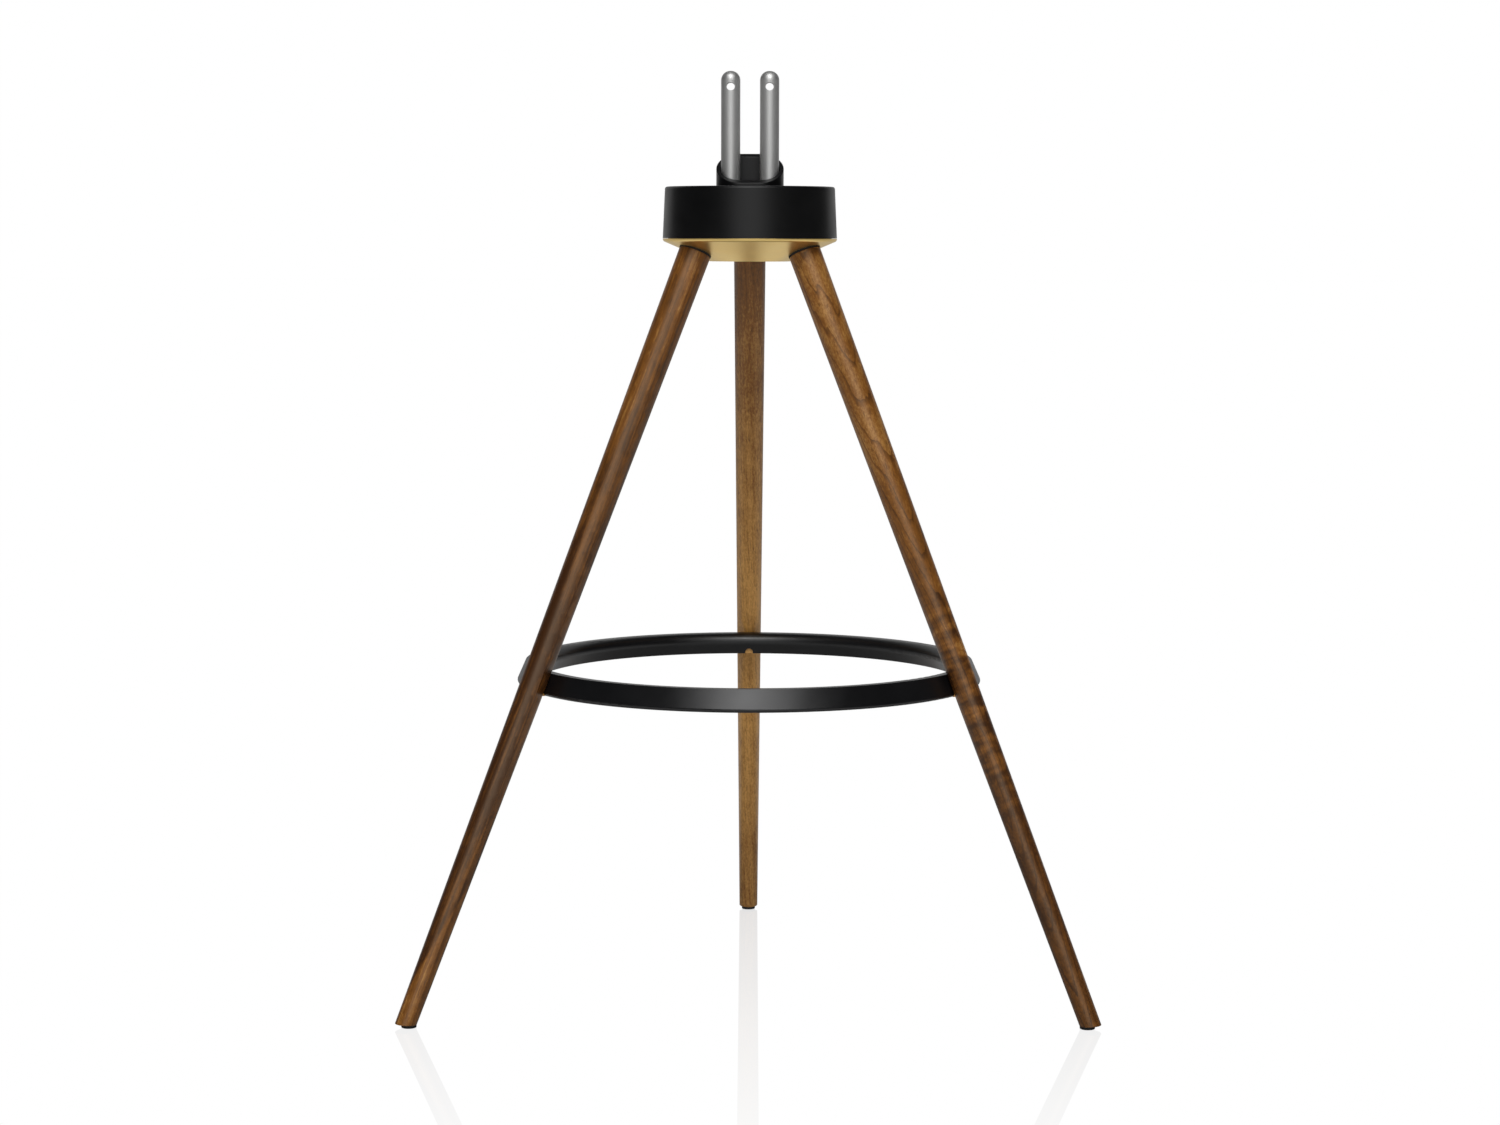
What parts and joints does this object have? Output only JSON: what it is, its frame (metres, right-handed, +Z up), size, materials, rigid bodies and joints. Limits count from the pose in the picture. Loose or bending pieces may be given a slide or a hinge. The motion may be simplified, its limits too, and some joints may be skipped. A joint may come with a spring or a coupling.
{
  "type": "tripod floor stand",
  "caption": "Floor stand on splayed tapered wooden legs tied by a black hoop, with a brass-toned dish and a turning black drum head that carries upright aluminium pins for a display.",
  "frame": {"origin": "on the floor, at the centre of the object's bounding box seen from above", "axes": "+Z up, +Y towards the rear leg, +X to the right seen from the front, where two legs stand"},
  "size_m": [0.7822, 0.7183, 1.0612],
  "materials": {
    "walnut_stained_wood": "satin lacquer over brown stain, open grain",
    "black_powder_coat": "satin black powder coat, fine texture",
    "black_hoop": "satin black, smooth moulded",
    "brass_tone_anodised": "fine satin, brass-toned anodising",
    "blasted_aluminium": "fine bead-blasted, clear anodised",
    "machined_aluminium": "milled, light tool marks",
    "zinc_steel": "bright zinc plate",
    "black_steel": "black oxide",
    "black_rubber": "matt moulded rubber",
    "nylon": "matt black nylon",
    "white_acetal": "smooth natural acetal",
    "bronze": "sintered bronze",
    "brass": "turned brass"
  },
  "bodies": {
    "base": {"leg_left": "walnut_stained_wood", "leg_right": "walnut_stained_wood", "leg_rear": "walnut_stained_wood", "hoop_pegs": "walnut_stained_wood", "foot_pad_left": "black_rubber", "foot_pad_right": "black_rubber", "foot_pad_rear": "black_rubber", "leg_gaskets": "black_rubber", "leg_bolts": "black_steel", "leg_bolt_washers": "zinc_steel", "leg_inserts": "brass", "foot_screws": "zinc_steel", "support_hoop": "black_hoop", "base_dish": "brass_tone_anodised", "spindle": "zinc_steel", "spindle_nut": "zinc_steel", "nut_washer": "zinc_steel", "thrust_washer_lower": "white_acetal", "thrust_washer_upper": "white_acetal", "spindle_washer": "zinc_steel", "disc_spring": "zinc_steel", "stop_pin": "zinc_steel"},
    "head": {"turntable_plate": "zinc_steel", "pivot_bushing": "bronze", "drum_cover": "black_powder_coat", "cover_screws": "zinc_steel", "clamp_block": "machined_aluminium", "block_screws": "black_steel", "prong_set_screws": "black_steel", "prong_left": "blasted_aluminium", "prong_right": "blasted_aluminium", "collar": "black_powder_coat", "collar_liner": "nylon", "collar_screws": "zinc_steel"}
  },
  "joints": [
    {"name": "head_swivel", "type": "hinge", "parent": "base", "child": "head", "pos_m": [0, -0.09078, 0.875], "axis": [0, 0, 1], "range_deg": [-40, 40]}
  ]
}
